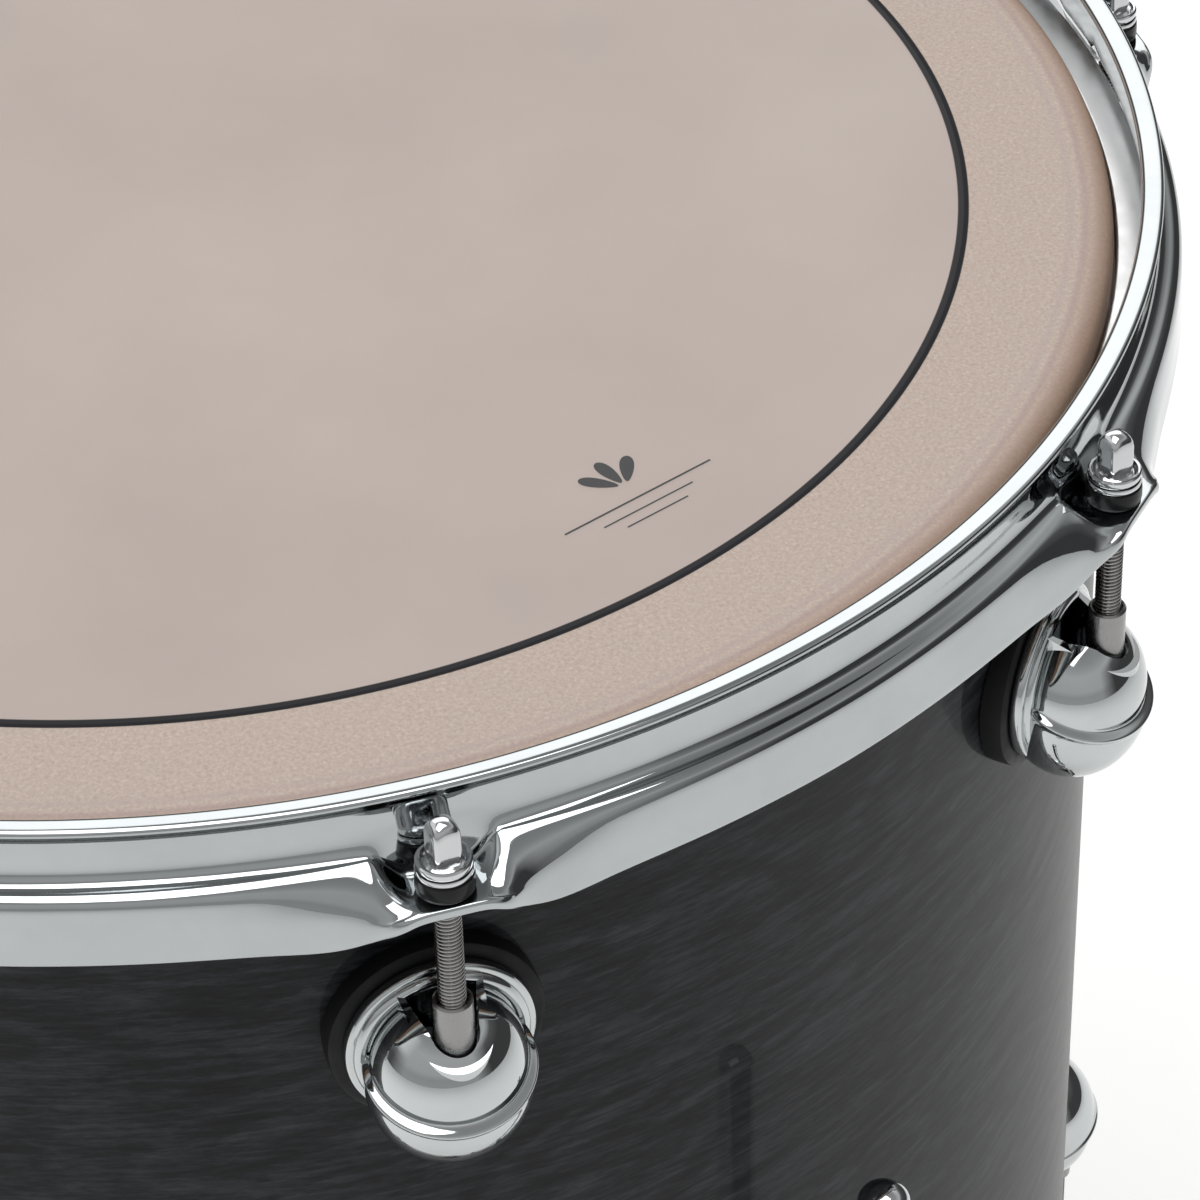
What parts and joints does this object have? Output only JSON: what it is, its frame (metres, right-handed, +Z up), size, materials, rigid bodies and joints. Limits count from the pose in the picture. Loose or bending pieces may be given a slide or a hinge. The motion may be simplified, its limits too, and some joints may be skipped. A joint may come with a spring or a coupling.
{
  "type": "floor tom drum",
  "caption": "Cylindrical drum with a head and metal counter hoop at each end, lugs and tension rods round its shell, and three sliding legs with rubber feet.",
  "frame": {"origin": "on the floor plane, on the drum's axis, midway between the feet", "axes": "+Z up along the drum's axis towards the playing head; a lug of each row faces -Y, and the others follow every 45 degrees"},
  "size_m": [0.525, 0.5168, 0.6462],
  "materials": {
    "lacquered_shell": "high gloss lacquer over near-black stained wood grain",
    "vent_nickel": "satin nickel plate",
    "hoop_chrome": "polished chrome plate",
    "batter_film": "satin translucent polyester film",
    "resonant_film": "smooth translucent polyester film",
    "flesh_hoop_aluminium": "satin",
    "lug_chrome": "polished chrome plate",
    "rod_steel": "chrome plated steel",
    "leg_chrome": "polished chrome plate",
    "bracket_chrome": "polished chrome plate",
    "black_rubber": "matte"
  },
  "bodies": {
    "drum": {"shell": "lacquered_shell", "air_vent": "vent_nickel", "batter_hoop": "hoop_chrome", "resonant_hoop": "hoop_chrome", "batter_head": "batter_film", "resonant_head": "resonant_film", "batter_flesh_hoop": "flesh_hoop_aluminium", "resonant_flesh_hoop": "flesh_hoop_aluminium", "batter_lug_1": "lug_chrome", "batter_lug_2": "lug_chrome", "batter_lug_3": "lug_chrome", "batter_lug_4": "lug_chrome", "batter_lug_5": "lug_chrome", "batter_lug_6": "lug_chrome", "batter_lug_7": "lug_chrome", "batter_lug_8": "lug_chrome", "resonant_lug_1": "lug_chrome", "resonant_lug_2": "lug_chrome", "resonant_lug_3": "lug_chrome", "resonant_lug_4": "lug_chrome", "resonant_lug_5": "lug_chrome", "resonant_lug_6": "lug_chrome", "resonant_lug_7": "lug_chrome", "resonant_lug_8": "lug_chrome", "leg_bracket_1": "bracket_chrome", "leg_bracket_2": "bracket_chrome", "leg_bracket_3": "bracket_chrome", "bracket_gasket_1": "black_rubber", "bracket_gasket_2": "black_rubber", "bracket_gasket_3": "black_rubber"},
    "leg_assembly_1": {"leg_1": "leg_chrome", "rubber_foot_1": "black_rubber"},
    "leg_assembly_2": {"leg_2": "leg_chrome", "rubber_foot_2": "black_rubber"},
    "leg_assembly_3": {"leg_3": "leg_chrome", "rubber_foot_3": "black_rubber"},
    "clamp_bolt_1": {"wing_bolt_1": "bracket_chrome"},
    "clamp_bolt_2": {"wing_bolt_2": "bracket_chrome"},
    "clamp_bolt_3": {"wing_bolt_3": "bracket_chrome"},
    "batter_rod_1": {"batter_tension_rod_1": "rod_steel"},
    "batter_rod_2": {"batter_tension_rod_2": "rod_steel"},
    "batter_rod_3": {"batter_tension_rod_3": "rod_steel"},
    "batter_rod_4": {"batter_tension_rod_4": "rod_steel"},
    "batter_rod_5": {"batter_tension_rod_5": "rod_steel"},
    "batter_rod_6": {"batter_tension_rod_6": "rod_steel"},
    "batter_rod_7": {"batter_tension_rod_7": "rod_steel"},
    "batter_rod_8": {"batter_tension_rod_8": "rod_steel"},
    "resonant_rod_1": {"resonant_tension_rod_1": "rod_steel"},
    "resonant_rod_2": {"resonant_tension_rod_2": "rod_steel"},
    "resonant_rod_3": {"resonant_tension_rod_3": "rod_steel"},
    "resonant_rod_4": {"resonant_tension_rod_4": "rod_steel"},
    "resonant_rod_5": {"resonant_tension_rod_5": "rod_steel"},
    "resonant_rod_6": {"resonant_tension_rod_6": "rod_steel"},
    "resonant_rod_7": {"resonant_tension_rod_7": "rod_steel"},
    "resonant_rod_8": {"resonant_tension_rod_8": "rod_steel"}
  },
  "joints": [
    {"name": "leg_slide_1", "type": "slide", "parent": "drum", "child": "leg_assembly_1", "axis": [0, 0, 1], "range_m": [-0.12, 0.1]},
    {"name": "leg_slide_2", "type": "slide", "parent": "drum", "child": "leg_assembly_2", "axis": [0, 0, 1], "range_m": [-0.12, 0.1]},
    {"name": "leg_slide_3", "type": "slide", "parent": "drum", "child": "leg_assembly_3", "axis": [0, 0, 1], "range_m": [-0.12, 0.1]},
    {"name": "wing_bolt_turn_1", "type": "hinge", "parent": "drum", "child": "clamp_bolt_1", "pos_m": [0.1, -0.23675, 0.3075], "axis": [0.9212, 0.3891, 0], "range_deg": [-180, 180]},
    {"name": "wing_bolt_turn_2", "type": "hinge", "parent": "drum", "child": "clamp_bolt_2", "pos_m": [0.15502, 0.20498, 0.3075], "axis": [-0.7976, 0.6032, 0], "range_deg": [-180, 180]},
    {"name": "wing_bolt_turn_3", "type": "hinge", "parent": "drum", "child": "clamp_bolt_3", "pos_m": [-0.25503, 0.03177, 0.3075], "axis": [-0.1236, -0.9923, 0], "range_deg": [-180, 180]},
    {"name": "batter_rod_turn_1", "type": "hinge", "parent": "drum", "child": "batter_rod_1", "pos_m": [0, -0.248, 0.615], "axis": [0, 0, 1], "range_deg": [-180, 180]},
    {"name": "batter_rod_turn_2", "type": "hinge", "parent": "drum", "child": "batter_rod_2", "pos_m": [0.17536, -0.17536, 0.615], "axis": [0, 0, 1], "range_deg": [-180, 180]},
    {"name": "batter_rod_turn_3", "type": "hinge", "parent": "drum", "child": "batter_rod_3", "pos_m": [0.248, 0, 0.615], "axis": [0, 0, 1], "range_deg": [-180, 180]},
    {"name": "batter_rod_turn_4", "type": "hinge", "parent": "drum", "child": "batter_rod_4", "pos_m": [0.17536, 0.17536, 0.615], "axis": [0, 0, 1], "range_deg": [-180, 180]},
    {"name": "batter_rod_turn_5", "type": "hinge", "parent": "drum", "child": "batter_rod_5", "pos_m": [0, 0.248, 0.615], "axis": [0, 0, 1], "range_deg": [-180, 180]},
    {"name": "batter_rod_turn_6", "type": "hinge", "parent": "drum", "child": "batter_rod_6", "pos_m": [-0.17536, 0.17536, 0.615], "axis": [0, 0, 1], "range_deg": [-180, 180]},
    {"name": "batter_rod_turn_7", "type": "hinge", "parent": "drum", "child": "batter_rod_7", "pos_m": [-0.248, 0, 0.615], "axis": [0, 0, 1], "range_deg": [-180, 180]},
    {"name": "batter_rod_turn_8", "type": "hinge", "parent": "drum", "child": "batter_rod_8", "pos_m": [-0.17536, -0.17536, 0.615], "axis": [0, 0, 1], "range_deg": [-180, 180]},
    {"name": "resonant_rod_turn_1", "type": "hinge", "parent": "drum", "child": "resonant_rod_1", "pos_m": [0, -0.248, 0.1978], "axis": [0, 0, 1], "range_deg": [-180, 180]},
    {"name": "resonant_rod_turn_2", "type": "hinge", "parent": "drum", "child": "resonant_rod_2", "pos_m": [0.17536, -0.17536, 0.1978], "axis": [0, 0, 1], "range_deg": [-180, 180]},
    {"name": "resonant_rod_turn_3", "type": "hinge", "parent": "drum", "child": "resonant_rod_3", "pos_m": [0.248, 0, 0.1978], "axis": [0, 0, 1], "range_deg": [-180, 180]},
    {"name": "resonant_rod_turn_4", "type": "hinge", "parent": "drum", "child": "resonant_rod_4", "pos_m": [0.17536, 0.17536, 0.1978], "axis": [0, 0, 1], "range_deg": [-180, 180]},
    {"name": "resonant_rod_turn_5", "type": "hinge", "parent": "drum", "child": "resonant_rod_5", "pos_m": [0, 0.248, 0.1978], "axis": [0, 0, 1], "range_deg": [-180, 180]},
    {"name": "resonant_rod_turn_6", "type": "hinge", "parent": "drum", "child": "resonant_rod_6", "pos_m": [-0.17536, 0.17536, 0.1978], "axis": [0, 0, 1], "range_deg": [-180, 180]},
    {"name": "resonant_rod_turn_7", "type": "hinge", "parent": "drum", "child": "resonant_rod_7", "pos_m": [-0.248, 0, 0.1978], "axis": [0, 0, 1], "range_deg": [-180, 180]},
    {"name": "resonant_rod_turn_8", "type": "hinge", "parent": "drum", "child": "resonant_rod_8", "pos_m": [-0.17536, -0.17536, 0.1978], "axis": [0, 0, 1], "range_deg": [-180, 180]}
  ]
}
